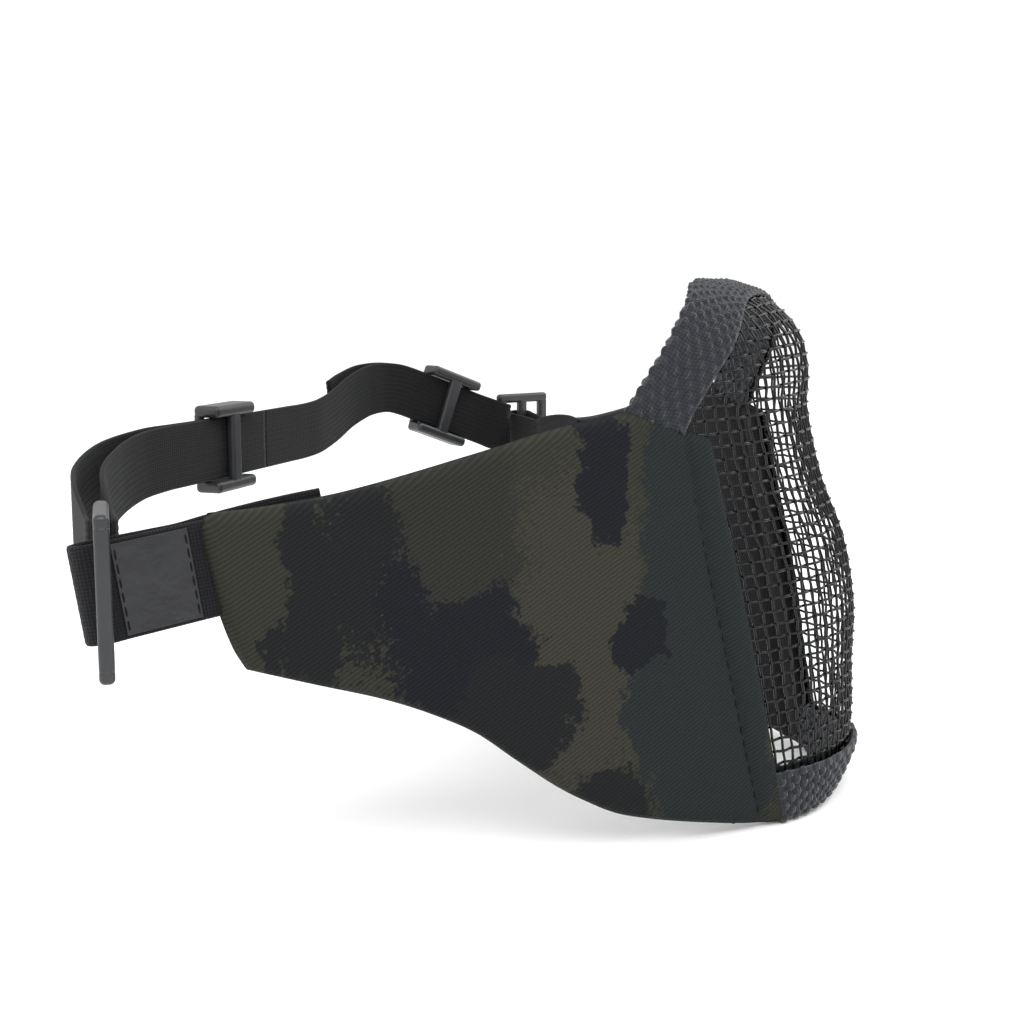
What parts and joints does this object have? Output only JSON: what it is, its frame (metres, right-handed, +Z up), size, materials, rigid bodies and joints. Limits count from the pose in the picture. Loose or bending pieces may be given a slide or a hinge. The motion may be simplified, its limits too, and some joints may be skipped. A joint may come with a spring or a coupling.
{
  "type": "camouflage half face mask",
  "caption": "Half face mask with a curved wire mesh front, padded camouflage cheek wings, webbing tabs with plastic rings, and an adjustable elastic head strap.",
  "frame": {"origin": "middle of the whole mask on the surface that it stands on: halfway between the left and right tabs, and halfway between the wire front and the back of the head strap", "axes": "+Z up, the wire front faces -Y, +X is the wearer's left"},
  "size_m": [0.2725, 0.1693, 0.1267],
  "materials": {
    "wire": "black coated steel wire, glossy",
    "binding": "coarse woven webbing, dark slate grey",
    "camo_cloth": "dark camouflage twill",
    "lining_cloth": "black knitted lining",
    "foam": "soft open foam",
    "label": "blank black satin",
    "webbing": "black woven webbing",
    "plastic": "dark grey moulded plastic, satin",
    "elastic": "black ribbed elastic"
  },
  "bodies": {
    "mask": {"mesh_front": "wire", "top_binding": "binding", "bottom_binding": "binding", "hem_cover_left": "camo_cloth", "hem_cover_right": "camo_cloth", "hem_lining_left": "lining_cloth", "hem_lining_right": "lining_cloth", "strap_right": "elastic", "strap_left": "elastic", "strap_return_right": "elastic", "strap_return_left": "elastic"},
    "wing_right": {"wing_cover_right": "camo_cloth", "wing_foam_right": "foam", "wing_lining_right": "lining_cloth", "tab_right": "webbing", "label_right": "label"},
    "wing_left": {"wing_cover_left": "camo_cloth", "wing_foam_left": "foam", "wing_lining_left": "lining_cloth", "tab_left": "webbing"},
    "ring_right": {"ring_right": "plastic"},
    "ring_left": {"ring_left": "plastic"},
    "slide_right": {"slide_right": "plastic"},
    "slide_left": {"slide_left": "plastic"}
  },
  "joints": [
    {"name": "wing_right_fold", "type": "hinge", "parent": "mask", "child": "wing_right", "pos_m": [-0.039, -0.05965, 0.0041], "axis": [0.1043, -0.2191, -0.9701], "range_deg": [-12, 20], "deforming": ["strap_right", "strap_return_right"]},
    {"name": "wing_left_fold", "type": "hinge", "parent": "mask", "child": "wing_left", "pos_m": [0.039, -0.05965, 0.0041], "axis": [0.1043, 0.2191, 0.9701], "range_deg": [-12, 20], "deforming": ["strap_left", "strap_return_left"]},
    {"name": "ring_right_turn", "type": "hinge", "parent": "wing_right", "child": "ring_right", "pos_m": [-0.12726, 0.0451, 0.06729], "axis": [0, 0, 1], "range_deg": [-10, 10], "deforming": ["strap_right", "strap_return_right"]},
    {"name": "ring_left_turn", "type": "hinge", "parent": "wing_left", "child": "ring_left", "pos_m": [0.12714, 0.04541, 0.07156], "axis": [0, 0, 1], "range_deg": [-10, 10], "deforming": ["strap_left", "strap_return_left"]},
    {"name": "slide_right_shift", "type": "slide", "parent": "mask", "child": "slide_right", "axis": [1, 0, 0], "range_m": [-0.005, 0.03]},
    {"name": "slide_left_shift", "type": "slide", "parent": "wing_left", "child": "slide_left", "axis": [-0.779, 0.5255, 0.342], "range_m": [-0.002, 0.004]}
  ]
}
